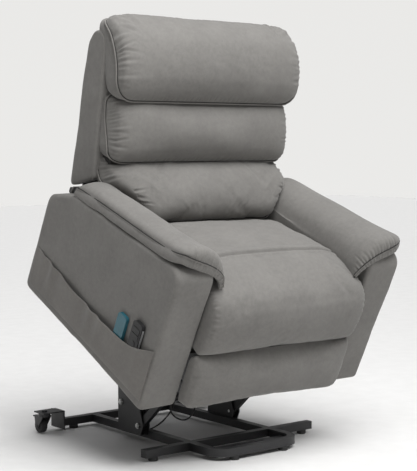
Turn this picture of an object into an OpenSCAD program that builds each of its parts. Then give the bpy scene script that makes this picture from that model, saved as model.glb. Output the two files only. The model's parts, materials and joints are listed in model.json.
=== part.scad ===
// Power lift recliner chair, shown raised and tilted forward to help its user stand up.
// Millimetres, +Z up, chair facing -Y. "left" and "right" are the sitter's own sides: left is +X.
// Everything that lifts is modelled level in the seat's frame, then tilted by the chair() module.
// Seat frame: y runs back from the arms' front, z runs up from the arms' bottom edge.

/* [Lift] */
// Forward tilt of the raised seat
lift_tilt = 26; // [10:0.5:30]
// Height of the arms' front bottom corner above the floor when raised
raised_z = 186.5; // [150:0.5:240]
// The same corner's distance from the front bar's feet, forwards
raised_y = 118.4; // [80:0.1:160]

/* [Chair] */
// Overall width across the arms
chair_w = 880; // [820:10:940]
// Width of each arm at the front
arm_w = 133; // [120:1:140]
// Depth of the arms' side panels
arm_depth = 705; // [660:5:740]
// Width of the seat cushion
seat_w = 600; // [560:5:604]
// Width of the backrest across its wings
back_w = 732; // [680:2:734]
// Full width of the head pillow
head_w = 736; // [680:4:740]

/* [Base] */
// Side of the square base tube
tube = 25; // [20:1:30]
// Wall thickness of the base tube
tube_wall = 2; // [1.5:0.5:3]
// Height of the rubber feet
foot_h = 13; // [8:1:20]
// Length of the front cross bar
front_bar_l = 670; // [600:10:700]
// Distance between the two rails' centre lines
rail_gap = 320; // [280:10:340]
// Front bar to rear bar, centre to centre
wheelbase = 540; // [500:5:560]

/* [Handsets] */
// Width of the lift handset
handset_w = 50; // [40:1:56]
// Length of the lift handset
handset_l = 160; // [120:5:170]

/* [Hidden] */
$fn = 48;
hull_fn = 32;

fabric = "#7d7a76";
black_steel = "#1b1b1d";
zinc = "#c9cbc8";
rubber = "#222222";
plastic = "#2a2b2d";
silver = "#b9bcc0";
wood = "#b08d5b";

// The origin lies under the middle of the raised chair's bounding box
centre_y = 107.6;

// Base levels
bar_z = foot_h + tube / 2;
bar_top = foot_h + tube;
rail_x = rail_gap / 2;
rail_out = rail_x + tube / 2;
bow_y = -140;
bow_r = 52;

// Four-bar lift linkage: A pivots on the base, B pivots on the seat
a1 = [220, 55.8];
a2 = [314, 119];
b1 = [100, 10];
b2 = [140, 40];
link_x = 186.5;
arm_t = 16;
link_bore = 5.05;
pin_r = 5;
open_bore = 8;
wall_in = rail_out;
wall_t = 4;
wall_out = 196.5;

// Lift actuator: hinged on the base, its rod pushes the seat's middle cross tube
act_base = [480, 55];
act_top = [225, 140];
rod_r = 10;
rod_bore = 10.05;

// Footrest linkage, in the seat frame
foot_f = [195, 105];
foot_e = [56, 7.5];
foot_g = [-8, 165];
foot_link_x = 241;
shaft_r = 10;
lever_tip = [220.7, 39.9];
lever_x = 100;

// Backrest
back_pivot = [430, 290];
back_lean = 11.4;
half_back = back_w / 2;
// The arms are thinner behind this place, where the backrest swings down between them
rear_in = half_back + 6;

// Casters
caster_x = 372;
caster_y = 512;
caster_trail = 22;
wheel_r = 24;
wheel_gap = 3;
axle_z = wheel_r + wheel_gap;

half_w = chair_w / 2;
arm_in = half_w - arm_w;

// ---- frames -------------------------------------------------------------------

module base() {
  translate([0, -centre_y, 0]) children();
}

module chair() {
  translate([0, -raised_y - centre_y, raised_z]) rotate([lift_tilt, 0, 0]) children();
}

// Mirrors a left-hand shape to the right-hand side
module sided(side) {
  if (side == "left") children();
  else mirror([1, 0, 0]) children();
}

// Extrudes a (y, z) outline from x0 to x1
module slab(x0, x1) {
  translate([x0, 0, 0]) rotate([90, 0, 90]) linear_extrude(x1 - x0) children();
}

// A rod along X
module rod_x(x0, x1, yz, r) {
  translate([x0, yz[0], yz[1]]) rotate([0, 90, 0]) cylinder(h = x1 - x0, r = r);
}

// Convex rounded outline through [y, z, radius] corners, grown by gap
module rounded(corners, gap = 0) {
  hull() for (c = corners) translate([c[0], c[1]]) circle(r = c[2] + gap, $fn = hull_fn);
}

// Square tube along Y, centred on x, z
module tube_y(x, z, y0, y1) {
  translate([x, y0, z]) rotate([-90, 0, 0]) linear_extrude(y1 - y0) difference() {
    square(tube, center = true);
    square(tube - 2 * tube_wall, center = true);
  }
}

// Square tube along X, centred on y, z
module tube_x(y, z, x0, x1) {
  translate([x0, y, z]) rotate([90, 0, 90]) linear_extrude(x1 - x0) difference() {
    square(tube, center = true);
    square(tube - 2 * tube_wall, center = true);
  }
}

// ---- base -----------------------------------------------------------------------

// One tube bent into a U: two rails and the bow that joins them in front
module base_rails() {
  color(black_steel) base() {
    for (side = [-1, 1]) tube_y(side * rail_x, bar_z, tube / 2 + 0.05, wheelbase - tube / 2);
    for (side = [-1, 1]) tube_y(side * rail_x, bar_z, bow_y + bow_r, -tube / 2 - 0.05);
    tube_x(bow_y, bar_z, -rail_x + bow_r, rail_x - bow_r);
    for (side = [0, 1]) mirror([side, 0, 0])
      translate([rail_x - bow_r, bow_y + bow_r, bar_z]) rotate([0, 0, -90])
        rotate_extrude(angle = 90) translate([bow_r, 0]) difference() {
          square(tube, center = true);
          square(tube - 2 * tube_wall, center = true);
        }
  }
}

module front_bar() {
  color(black_steel) base() tube_x(0, bar_z, -front_bar_l / 2, front_bar_l / 2);
}

rear_bar_l = 624;
module rear_bar() {
  color(black_steel) base() tube_x(wheelbase, bar_z, -rear_bar_l / 2, rear_bar_l / 2);
}

// Flat strip inside the bow, with a slot for a tie-down screw
module bow_plate() {
  strip_y = -92;
  strip_w = 40;
  strip_t = 4;
  slot_l = 120;
  slot_w = 12;
  color(black_steel) base()
    translate([0, strip_y, bar_z - strip_t / 2]) difference() {
      intersection() {
        translate([-rail_x + tube / 2, -strip_w / 2, 0])
          cube([rail_gap - tube, strip_w, strip_t]);
        linear_extrude(strip_t) hull() for (x = [-1, 1]) {
          translate([x * (rail_x - bow_r), bow_y + bow_r - strip_y])
            circle(r = bow_r - tube / 2 - 0.1, $fn = hull_fn);
          translate([x * (rail_x - tube / 2 - 0.05), strip_w]) circle(r = 0.05, $fn = 4);
        }
      }
      translate([-slot_l / 2, -slot_w / 2, -1]) cube([slot_l, slot_w, strip_t + 2]);
      for (x = [-slot_l / 2, slot_l / 2]) translate([x, 0, -1])
        cylinder(h = strip_t + 2, r = slot_w / 2);
    }
}

module end_caps() {
  cap_t = 3;
  plug_l = 12;
  plug = tube - 2 * tube_wall;
  color(plastic) base() for (side = [0, 1]) mirror([side, 0, 0])
    translate([front_bar_l / 2, 0, bar_z]) {
      translate([cap_t / 2, 0, 0]) cube([cap_t, tube, tube], center = true);
      translate([-plug_l / 2, 0, 0]) cube([plug_l, plug, plug], center = true);
    }
}

front_foot_x = 302;
bow_foot_x = 98;
rear_foot_x = 242;
foot_r = 15;
foot_lip = 1.5;
module rubber_feet() {
  spots = [[front_foot_x, 0], [bow_foot_x, bow_y], [rear_foot_x, wheelbase]];
  color(rubber) base() for (side = [-1, 1], s = spots) translate([side * s[0], s[1], 0]) {
    cylinder(h = foot_lip, r1 = foot_r - foot_lip, r2 = foot_r);
    translate([0, 0, foot_lip]) cylinder(h = foot_h - foot_lip, r = foot_r);
  }
}

// U-shaped bracket welded to the rail: the lift arm and the follower link pivot in it
module upright(side) {
  y0 = 224;
  y1 = 334;
  web_z = 23;
  top_z = 186;
  color(black_steel) base() sided(side) difference() {
    union() {
      for (x = [wall_in, wall_out]) slab(x, x + wall_t) rounded([[y0 - 12, web_z + 3, 3],
        [y1 - 3, web_z + 3, 3], [y1 - 18, top_z - 18, 18], [y0 + 30, top_z - 18, 18],
        [a1[0], a1[1] + 2, 24]]);
      translate([wall_in, y0, web_z]) cube([wall_out + wall_t - wall_in, y1 - y0, wall_t]);
    }
    for (a = [a1, a2]) rod_x(wall_in - 1, wall_out + wall_t + 1, a, pin_r);
  }
}

// Shoulder bolts through the two uprights, with zinc-plated heads and nuts
module upright_bolts() {
  head_r = 9;
  head_t = 5;
  nut_r = 8.5;
  out = wall_out + wall_t;
  color(zinc) base() for (side = [0, 1]) mirror([side, 0, 0]) for (a = [a1, a2]) {
    rod_x(wall_in + 0.05, out, a, pin_r);
    rod_x(out, out + head_t, a, head_r);
    rod_x(out + head_t, out + head_t + 3, a, nut_r - 2);
  }
}

// Two ears and a pin on the rear bar that carry the lift actuator
module actuator_clevis() {
  ear_in = 16;
  ear_t = 4;
  ear_r = 15;
  color(black_steel) base() {
    difference() {
      for (x = [-ear_in - ear_t, ear_in]) slab(x, x + ear_t) rounded([
        [act_base[0], act_base[1], ear_r], [wheelbase - tube / 2 - 3, foot_h + 4, 3],
        [wheelbase - tube / 2 - 3, bar_top - 4, 3]]);
      rod_x(-ear_in - ear_t - 1, ear_in + ear_t + 1, act_base, pin_r);
    }
    rod_x(-ear_in - ear_t - 4, ear_in + ear_t + 4, act_base, pin_r);
  }
}

// Goose-neck brackets that carry the casters off the rear bar's ends
bracket_t = 4;
bracket_top = 72;
module caster_brackets() {
  y0 = caster_y - 30;
  y1 = wheelbase + 22;
  x0 = rear_bar_l / 2;
  x1 = caster_x + 22;
  color(black_steel) base() for (side = [0, 1]) mirror([side, 0, 0]) {
    translate([x0, y0, foot_h]) cube([bracket_t, y1 - y0, bracket_top - foot_h]);
    difference() {
      translate([x0, y0, bracket_top]) cube([x1 - x0, 60, bracket_t]);
      translate([caster_x, caster_y, bracket_top - 1]) cylinder(h = bracket_t + 2, r = 5.05);
    }
  }
}

// ---- casters -----------------------------------------------------------------

fork_w = 34;
crown_z = 60;
lever_pivot = [caster_y + 28, 57];
module caster_fork(side) {
  leg_t = 3;
  color(black_steel) base() sided(side) translate([caster_x, 0, 0]) {
    translate([0, caster_y, crown_z]) cylinder(h = bracket_top - crown_z - 0.5, r = 20);
    translate([0, caster_y, crown_z]) cylinder(h = bracket_top + bracket_t + 4 - crown_z, r = 5);
    translate([0, caster_y, bracket_top + bracket_t + 0.5]) cylinder(h = 4, r = 9);
    difference() {
      for (x = [-fork_w / 2, fork_w / 2 - leg_t]) slab(x, x + leg_t) rounded([
        [caster_y + caster_trail, axle_z, 9], [caster_y - 10, crown_z + 1, 4],
        [lever_pivot[0], lever_pivot[1] - 1, 8]]);
      rod_x(-fork_w, fork_w, [caster_y + caster_trail, axle_z], 4);
    }
    translate([-fork_w / 2, caster_y - 14, crown_z]) cube([fork_w, 36, leg_t]);
    rod_x(-fork_w / 2 - 2, fork_w / 2 + 2, [caster_y + caster_trail, axle_z], 4);
    rod_x(-fork_w / 2, fork_w / 2, lever_pivot, 2);
  }
}

module caster_wheel(side) {
  tread_w = 22;
  color(rubber) base() sided(side)
    translate([caster_x, caster_y + caster_trail, axle_z]) rotate([0, 90, 0])
      rotate_extrude() polygon([[4.05, -13], [9, -13], [9, -tread_w / 2], [wheel_r - 2, -tread_w / 2],
        [wheel_r, -tread_w / 2 + 2], [wheel_r, tread_w / 2 - 2], [wheel_r - 2, tread_w / 2],
        [9, tread_w / 2], [9, 13], [4.05, 13]]);
}

// Foot pedal that presses a pad on the wheel
module brake_lever(side) {
  half = fork_w / 2 - 4;
  color(plastic) base() sided(side) translate([caster_x, 0, 0]) {
    difference() {
      rod_x(-half, half, lever_pivot, 5);
      rod_x(-half - 1, half + 1, lever_pivot, 2.05);
    }
    translate([-half, lever_pivot[0] + 3.5, lever_pivot[1] - 3]) cube([2 * half, 20, 4]);
  }
}

// ---- lift linkage ----------------------------------------------------------------

// Seat points at rest, in the base's own (y, z) plane
function raised(p) = [-raised_y + p[0] * cos(lift_tilt) - p[1] * sin(lift_tilt),
  raised_z + p[0] * sin(lift_tilt) + p[1] * cos(lift_tilt)];

arm_mid = (a1 + raised(b1)) / 2;
arm_dir = (raised(b1) - a1) / norm(raised(b1) - a1);
arm_up = [arm_dir[1], -arm_dir[0]];
arm_rise = 14;
arm_knee = arm_mid + arm_up * arm_rise;

module lift_arm(side) {
  hub_r = 15;
  half = arm_t / 2;
  bar_r = 12;
  color(black_steel) base() sided(side) difference() {
    union() {
      for (ends = [[a1, arm_knee], [arm_knee, raised(b1)]]) slab(link_x - half, link_x + half)
        hull() for (p = ends) translate(p) circle(r = bar_r, $fn = hull_fn);
      for (p = [a1, raised(b1)]) rod_x(link_x - half - 1, link_x + half + 1, p, hub_r);
    }
    for (p = [a1, raised(b1)]) rod_x(link_x - arm_t, link_x + arm_t, p, link_bore);
  }
}

module lift_cross_tube() {
  inner = link_x - arm_t / 2;
  color(black_steel) base() difference() {
    rod_x(-inner, inner, arm_knee, 12);
    rod_x(-inner - 1, inner + 1, arm_knee, 10);
  }
}

// The open pivot is at the top, where the bore has room for the linkage's small error
module follower_link(side) {
  half = 6;
  hub_r = 15;
  color(black_steel) base() sided(side) difference() {
    union() {
      slab(link_x - half, link_x + half) hull() for (p = [a2, raised(b2)])
        translate(p) circle(r = 10, $fn = hull_fn);
      rod_x(link_x - arm_t / 2 - 1, link_x + arm_t / 2 + 1, a2, 13);
      rod_x(link_x - arm_t / 2 - 1, link_x + arm_t / 2 + 1, raised(b2), hub_r);
    }
    rod_x(link_x - arm_t, link_x + arm_t, a2, link_bore);
    rod_x(link_x - arm_t, link_x + arm_t, raised(b2), open_bore);
  }
}

act_vec = raised(act_top) - act_base;
act_len = norm(act_vec);
act_angle = atan2(act_vec[1], act_vec[0]);

// Local frame with +Z along the actuator, from its base pin
module actuator() {
  base() translate([0, act_base[0], act_base[1]]) rotate([act_angle - 90, 0, 0]) children();
}

act_tube_end = 440;
module lift_actuator_body() {
  tube_start = 90;
  color(plastic) actuator() {
    difference() {
      union() {
        translate([-15.5, 0, 0]) rotate([0, 90, 0]) cylinder(h = 31, r = 14);
        translate([-14, -14, 0]) cube([28, 28, 32]);
        translate([-24, -30, 30]) cube([48, 60, 62]);
      }
      translate([-20, 0, 0]) rotate([0, 90, 0]) cylinder(h = 40, r = link_bore);
    }
    translate([0, 56, 34]) cylinder(h = 130, r = 25);
    translate([-20, 28, 40]) cube([40, 24, 48]);
    difference() {
      translate([0, 0, tube_start]) cylinder(h = act_tube_end - tube_start, r = 17);
      translate([0, 0, tube_start + 4]) cylinder(h = act_tube_end, r = rod_bore);
    }
  }
}

module lift_actuator_rod() {
  rod_l = 330;
  color(silver) actuator() translate([0, 0, act_len]) {
    translate([0, 0, -rod_l]) cylinder(h = rod_l - 8, r = rod_r);
    translate([-11, 0, 0]) rotate([0, 90, 0]) cylinder(h = 22, r = 14);
    translate([-20, 0, 0]) rotate([0, 90, 0]) cylinder(h = 40, r = pin_r);
  }
}

// ---- seat ------------------------------------------------------------------------

frame_z = 140;
frame_h = 25;
frame_mid = frame_z + frame_h / 2;
frame_front = 72;
frame_rear = 600;
post_y = 440;
act_tube_y = 190;

// Rectangular tube along X in the seat frame
module frame_bar(y, half) {
  wall = 2;
  translate([-half, y, frame_mid]) rotate([90, 0, 90]) linear_extrude(2 * half) difference() {
    square(frame_h, center = true);
    square(frame_h - 2 * wall, center = true);
  }
}

module seat_frame() {
  rail_in = wall_in + wall_t;
  rail_w = wall_out - rail_in;
  wall = 2;
  // Places that the pin passes, counted from its place when raised
  pin_run = [[0, 0], [-3.6, -5.6], [-4.9, -9.6], [-4.4, -11], [-2.9, -10.1], [0.6, -0.4]];
  color(black_steel) chair() {
    for (side = [0, 1]) mirror([side, 0, 0]) difference() {
      translate([rail_in, frame_front - frame_h / 2, frame_z]) cube([rail_w, 580, frame_h]);
      translate([rail_in + wall, frame_front - frame_h / 2 - 1, frame_z + wall])
        cube([rail_w - 2 * wall, 582, frame_h - 2 * wall]);
    }
    frame_bar(act_tube_y, rail_in);
    for (y = [frame_front, post_y, frame_rear]) {
      frame_bar(y, rail_in);
      for (side = [0, 1]) mirror([side, 0, 0]) intersection() {
        frame_bar(y, rear_in);
        translate([wall_out, y - 20, 0]) cube([(y > 400 ? rear_in : arm_in) - wall_out, 40, 200]);
      }
    }
    // Ears that the lift actuator's pin pushes on, slotted for the pin's short sideways run
    for (x = [-18, 14]) difference() {
      slab(x, x + 4) rounded([[act_tube_y - 8, frame_z + 4, 4], [act_tube_y, frame_z + frame_h - 4, 4],
        [act_top[0] + 2, act_top[1] - 4, 19], [act_tube_y + 9, frame_z - 16, 5]]);
      slab(x - 1, x + 5) hull() for (p = pin_run)
        translate(act_top + p) circle(r = pin_r + 0.9, $fn = hull_fn);
    }
    // Hangers with the bearings of the footrest's torque shaft
    for (side = [0, 1]) mirror([side, 0, 0]) difference() {
      slab(wall_out, wall_out + wall_t) rounded([[foot_f[0], foot_f[1], 18],
        [foot_f[0] - 12, frame_z + frame_h - 3, 3], [foot_f[0] + 12, frame_z + frame_h - 3, 3]]);
      rod_x(wall_out - 1, wall_out + wall_t + 1, foot_f, shaft_r + 0.05);
    }
  }
}

// Flat spring strips over the seat frame
module seat_springs() {
  count = 7;
  pitch = 44;
  strip_w = 14;
  color(zinc) chair() for (i = [0 : count - 1])
    translate([(i - (count - 1) / 2) * pitch - strip_w / 2, frame_front - 12, frame_z + frame_h])
      cube([strip_w, post_y - frame_front + 24, 3]);
}

// Plates that hang from the frame and carry the linkage's upper pivots
module lift_brackets() {
  color(black_steel) chair() for (side = [0, 1]) mirror([side, 0, 0]) difference() {
    for (x = [wall_in, wall_out]) slab(x, x + wall_t) rounded([[b1[0], b1[1], 18],
      [b2[0] + 4, b2[1], 18], [b1[0] - 10, frame_z + frame_h - 4, 4],
      [b2[0] + 14, frame_z + frame_h - 4, 4]]);
    for (b = [b1, b2]) rod_x(wall_in - 1, wall_out + wall_t + 1, b, pin_r);
  }
}

module bracket_pins() {
  out = wall_out + wall_t;
  color(zinc) chair() for (side = [0, 1]) mirror([side, 0, 0]) for (b = [b1, b2]) {
    rod_x(wall_in - 3, out, b, pin_r);
    rod_x(out, out + 4, b, 9);
  }
}

// Posts at the seat's rear corners that the backrest turns on
post_x = half_back - 2;
module recline_posts() {
  t = 4;
  color(black_steel) chair() for (side = [0, 1]) mirror([side, 0, 0]) {
    difference() {
      slab(post_x, post_x + t) rounded([[back_pivot[0], back_pivot[1], 16],
        [post_y - 22, frame_z + 4, 3], [post_y + 22, frame_z + 4, 3]]);
      intersection() {
        frame_bar(post_y, rear_in);
        translate([post_x - 1, post_y - 20, 0]) cube([8, 40, 200]);
      }
    }
    rod_x(post_x - 9, post_x, back_pivot, pin_r);
  }
}

// Seat: the front rolls down to the footrest, the rear dips under the backrest
module seat_cushion() {
  half = seat_w / 2;
  color(fabric) chair() slab(-half, half) rounded([[-16, 226, 34], [-2, 335, 44], [60, 350, 58],
    [150, 346, 62], [400, 330, 42], [450, 326, 32], [462, 210, 12], [20, 204, 12]]);
}

// Upholstered arm, thinner behind the seat where the backrest swings down
module arm(side) {
  color(fabric) chair() sided(side) difference() {
    slab(arm_in, half_w) rounded([[6, 6, 6], [42, 421, 42], [560, 372, 32], [658, 316, 42],
      [arm_depth - 16, 22, 16]]);
    slab(arm_in - 1, half_w + 1) rounded(pad_corners, fabric_gap);
    translate([arm_in - 1, 400, -60]) cube([rear_in - arm_in + 1, 400, 600]);
  }
}

// Arm pad's outline, and the gap that a neighbour keeps from a padded outline
pad_corners = [[4, 470, 26], [60, 492, 30], [180, 478, 28], [380, 460, 24], [542, 434, 18],
  [542, 424, 12], [20, 478, 10]];
fabric_gap = 0.3;

// Arm pad: a flat band along the side and a crown that droops over the inner edge in front
module arm_pad(side) {
  color(fabric) chair() sided(side)
    slab(arm_in - 17, half_w - 8) rounded(pad_corners);
}

// Flat pouch on the outside of the right arm, open along its top edge
pocket_x = half_w;
pouch_skin = 2.5;
pouch_out = 18;
module pocket_outline(inset, lift) {
  polygon([[6 + inset, 30 + inset], [arm_depth - 22 - inset, 30 + inset],
    [arm_depth - 10 - inset, 162 + lift], [349, 148 + lift], [175, 154 + lift],
    [95, 166 + lift], [6 + inset, 203 + lift]]);
}

module pocket_plan(inset) {
  polygon([[pocket_x - 1, 6 + inset], [pocket_x - 1, arm_depth - 10 - inset],
    [pocket_x + 6 - inset, arm_depth - 10 - inset], [pocket_x + pouch_out - inset, 230],
    [pocket_x + pouch_out - inset, 70], [pocket_x + 6 - inset, 6 + inset]]);
}

module side_pocket() {
  color(fabric) chair() mirror([1, 0, 0]) difference() {
    intersection() {
      slab(pocket_x, pocket_x + pouch_out) pocket_outline(0, 0);
      translate([0, 0, -10]) linear_extrude(300) pocket_plan(0);
    }
    intersection() {
      slab(pocket_x - 1, pocket_x + pouch_out) pocket_outline(pouch_skin, 10);
      translate([0, 0, -10]) linear_extrude(300) pocket_plan(pouch_skin);
    }
  }
}

module rear_skirt() {
  color(fabric) chair() translate([-rear_in + 0.5, arm_depth - 12, 8]) cube([2 * rear_in - 1, 6, 146]);
}

module control_box() {
  color(plastic) chair() {
    translate([-150, 300, frame_z - 46]) cube([92, 130, 40]);
    for (y = [330, 390]) translate([-130, y, frame_z - 6]) cube([52, 14, 6]);
    translate([-173, 300, frame_z - 6]) cube([140, 14, 6]);
  }
}

// ---- footrest --------------------------------------------------------------------

foot_motor_y = 560;
foot_rod_z = lever_tip[1];
module footrest_motor() {
  tube_y0 = 270;
  color(plastic) chair() translate([lever_x, 0, foot_rod_z]) {
    translate([-24, 470, -26]) cube([48, 74, 56]);
    translate([48, 500, 0]) rotate([90, 0, 0]) cylinder(h = 120, r = 20);
    translate([20, 476, -18]) cube([24, 40, 36]);
    difference() {
      translate([0, 470, 0]) rotate([90, 0, 0]) cylinder(h = 470 - tube_y0, r = 14);
      translate([0, 466, 0]) rotate([90, 0, 0]) cylinder(h = 300, r = 8.05);
    }
    for (x = [-20, 16]) translate([x, foot_motor_y - 40, 20]) cube([4, 70, frame_z - foot_rod_z - 20]);
  }
}

module footrest_motor_rod() {
  color(silver) chair() translate([lever_x, lever_tip[0], foot_rod_z]) {
    translate([0, 230, 0]) rotate([90, 0, 0]) cylinder(h = 205, r = 8);
    for (x = [-12, 6]) difference() {
      translate([x, -10, -8]) cube([6, 38, 16]);
      translate([x - 1, 0, 0]) rotate([0, 90, 0]) cylinder(h = 8, r = 4);
    }
    translate([-12, 20, -8]) cube([24, 8, 16]);
    translate([-14, 0, 0]) rotate([0, 90, 0]) cylinder(h = 28, r = 4);
  }
}

// Flat link between two (y, z) points, drilled at both ends
module link(x, t, p, q, r, bore_p, bore_q) {
  difference() {
    slab(x, x + t) hull() {
      translate(p) circle(r = r, $fn = hull_fn);
      translate(q) circle(r = r, $fn = hull_fn);
    }
    rod_x(x - 1, x + t + 1, p, bore_p);
    rod_x(x - 1, x + t + 1, q, bore_q);
  }
}

link_t = 5;
module footrest_inner_links() {
  lever_dir = (lever_tip - foot_f) / norm(lever_tip - foot_f);
  color(black_steel) chair() {
    rod_x(-foot_link_x, foot_link_x, foot_f, shaft_r);
    for (side = [0, 1]) mirror([side, 0, 0])
      link(foot_link_x, link_t, foot_f, foot_e, 11, 4, 4);
    rod_x(-foot_link_x - 2 * link_t - 3, foot_link_x + 2 * link_t + 3, foot_e, 4);
    for (side = [0, 1]) mirror([side, 0, 0]) rod_x(foot_link_x, foot_link_x + link_t + 2, foot_f, 4);
    // Slotted lever that the motor's rod pushes
    difference() {
      slab(lever_x - 4, lever_x + 4) hull() {
        translate(foot_f) circle(r = 16, $fn = hull_fn);
        translate(lever_tip + lever_dir * 4) circle(r = 13, $fn = hull_fn);
      }
      for (d = [-6, -3, 0, 2]) rod_x(lever_x - 5, lever_x + 5, lever_tip + lever_dir * d, 4.8);
    }
  }
}

module footrest_outer_links() {
  x = foot_link_x + link_t + 0.5;
  color(black_steel) chair() {
    for (side = [0, 1]) mirror([side, 0, 0]) link(x, link_t, foot_e, foot_g, 11, 4.05, 4);
    for (side = [0, 1]) mirror([side, 0, 0]) rod_x(x - 12, x + link_t + 2, foot_g, 4);
  }
}

board_y = -14;
board_z = 24;
board_top = 166;
notch_x = foot_link_x + link_t + 0.5 + link_t / 2;
module footrest_board() {
  half = 262;
  ear_x = foot_link_x - 6;
  color(wood) chair() {
    difference() {
      translate([-half, board_y - 12, board_z]) cube([2 * half, 12, board_top - board_z]);
      // Room for the links' round ends
      for (side = [-1, 1]) translate([side * notch_x - 6, -20.5, foot_g[1] - 19]) cube([12, 20, 40]);
    }
    for (side = [0, 1]) mirror([side, 0, 0]) difference() {
      slab(ear_x, ear_x + 5) rounded([[foot_g[0], foot_g[1], 9], [board_y - 1, foot_g[1] - 40, 1],
        [board_y - 1, foot_g[1] + 4, 1]]);
      rod_x(ear_x - 1, ear_x + 6, foot_g, 4.05);
    }
  }
}

module footrest_cushion() {
  half = arm_in - 5;
  color(fabric) chair() difference() {
    slab(-half, half) rounded([[-28, 168, 16], [-26, 168, 11], [-28, 24, 18], [-26, 18, 11]]);
    translate([-263, board_y - 12.3, board_z - 1]) cube([526, 40, board_top - board_z + 2]);
    for (side = [-1, 1]) translate([side * (notch_x - 5) - 11, -23, foot_g[1] - 19]) cube([22, 40, 50]);
  }
}

// ---- backrest -----------------------------------------------------------------------

head_corners = [[652, 752, 56], [700, 840, 62], [758, 886, 34], [730, 760, 30]];
middle_corners = [[606, 560, 44], [630, 650, 42], [690, 676, 20], [640, 545, 20]];
lower_corners = [[450, 413, 32], [500, 450, 46], [560, 478, 33], [520, 400, 18]];
wing_corners = [[610, 447, 10], [703, 378, 8], [790, 812, 16], [758, 824, 20], [686, 716, 10]];
panel_corners = [[684, 368, 3], [790, 820, 10], [784, 824, 10], [682, 372, 3]];

module back_frame() {
  half = half_back - 32;
  low_half = arm_in - 22;
  color(wood) chair() difference() {
    slab(-half, half) difference() {
      rounded([[500, 330, 8], [676, 372, 8], [764, 790, 8], [742, 800, 8], [575, 500, 8]]);
      rounded(head_corners, fabric_gap);
      rounded(middle_corners, fabric_gap);
      rounded(lower_corners, fabric_gap);
      rounded(panel_corners, fabric_gap);
    }
    // Room for the arm pads
    for (side = [0, 1]) mirror([side, 0, 0]) translate([low_half, 450, 300]) cube([80, 130, 175]);
  }
}

module back_brackets() {
  x = half_back - 8;
  t = 5;
  color(black_steel) chair() for (side = [0, 1]) mirror([side, 0, 0]) {
    difference() {
      slab(x, x + t) rounded([[back_pivot[0], back_pivot[1], 18], [560, 330, 12],
        [700, 348, 7], [700, 356, 6], [600, 400, 10]]);
      rod_x(x - 1, x + t + 1, back_pivot, pin_r + 0.05);
    }
    translate([half_back - 32, 600, 374]) cube([26, 60, 5]);
  }
}

module back_wing(side) {
  color(fabric) chair() sided(side)
    slab(half_back - 31, half_back) rounded(wing_corners);
}

module back_panel() {
  half = half_back - 32;
  color(fabric) chair() slab(-half, half) rounded(panel_corners);
}

// Pillow: rounded outline, narrower where it sits between the wings
module pillow(half, corners) {
  color(fabric) chair() difference() {
    slab(-half, half) rounded(corners);
    for (side = [0, 1]) mirror([side, 0, 0]) slab(half_back - 31 - fabric_gap, half_back + 20)
      rounded(wing_corners, fabric_gap);
  }
}

module head_pillow() {
  color(fabric) difference() {
    pillow(head_w / 2, head_corners);
    chair() slab(-half_back, half_back) rounded(panel_corners, fabric_gap);
  }
}

module middle_pillow() {
  pillow(half_back - 12, middle_corners);
}

module lower_pillow() {
  pillow(arm_in - 21, lower_corners);
}

// ---- handsets ------------------------------------------------------------------

handset_y = 93;
handset_top = 245;
massage_y = 172;
massage_top = 223;
handset_t = 13;
handset_in = pocket_x + 1.5;

// Local frame of the lift handset: x across it, y out of its face, z along it
module handset() {
  chair() translate([-handset_in, handset_y, handset_top - handset_l]) rotate([0, 0, 90]) children();
}

// Each key is [height of its lower edge, width, height]; it sinks into a well in the case
top_key = [handset_l - 34, 34, 17];
mid_key = [handset_l - 54, 34, 17];
dot_key = [handset_l - 68, 9];
key_gap = 0.3;
key_above = 1.3;
key_below = 1.2;
well = 2.6;

module handset_case() {
  r = 10;
  color(plastic) handset() difference() {
    translate([0, handset_t, 0]) rotate([90, 0, 0]) linear_extrude(handset_t) rounded([
      [-handset_w / 2 + r + 2, r, r], [handset_w / 2 - r - 2, r, r],
      [handset_w / 2 - r - 2, handset_l - r, r], [-handset_w / 2 + r + 2, handset_l - r, r]]);
    for (k = [top_key, mid_key]) translate([-k[1] / 2 - key_gap, handset_t - well, k[0] - key_gap])
      cube([k[1] + 2 * key_gap, well + 1, k[2] + 2 * key_gap]);
    translate([0, handset_t - well, dot_key[0]]) rotate([-90, 0, 0])
      cylinder(h = well + 1, r = dot_key[1] + key_gap);
  }
}

module handset_trim() {
  color(silver) handset() for (x = [-handset_w / 2, handset_w / 2 - 2])
    translate([x, 4, 14]) cube([2, handset_t - 8, handset_l - 28]);
}

module key(k) {
  color(plastic) handset() translate([-k[1] / 2, handset_t - key_below, k[0]])
    cube([k[1], key_below + key_above, k[2]]);
}

module recline_key() {
  key(top_key);
}

module raise_key() {
  key(mid_key);
}

module round_key() {
  color(plastic) handset() translate([0, handset_t - key_below, dot_key[0]]) rotate([-90, 0, 0])
    cylinder(h = key_below + key_above, r = dot_key[1]);
}

module massage_handset() {
  w = 44;
  l = 120;
  t = 11;
  color("#2d6f78") chair() translate([-handset_in, massage_y, massage_top - l]) rotate([0, 0, 90])
    translate([0, t, 0]) rotate([90, 0, 0]) linear_extrude(t)
      rounded([[-w / 2 + 9, 9, 9], [w / 2 - 9, 9, 9], [w / 2 - 9, l - 9, 9], [-w / 2 + 9, l - 9, 9]]);
}

// ---- leads -------------------------------------------------------------------------

lead_r = 2.5;

// Catmull-Rom spline through hand-chosen points
function spline(p, i, t) = let (a = p[max(i - 1, 0)], b = p[i], c = p[i + 1], d = p[min(i + 2, len(p) - 1)])
  0.5 * ((2 * b) + (c - a) * t + (2 * a - 5 * b + 4 * c - d) * t * t + (3 * b - a - 3 * c + d) * t * t * t);
function route(p, steps) = concat([for (i = [0 : len(p) - 2], k = [0 : steps - 1]) spline(p, i, k / steps)],
  [p[len(p) - 1]]);
function unit(v) = v / norm(v);
function tangent(r, i) = unit(r[min(i + 1, len(r) - 1)] - r[max(i - 1, 0)]);

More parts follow.
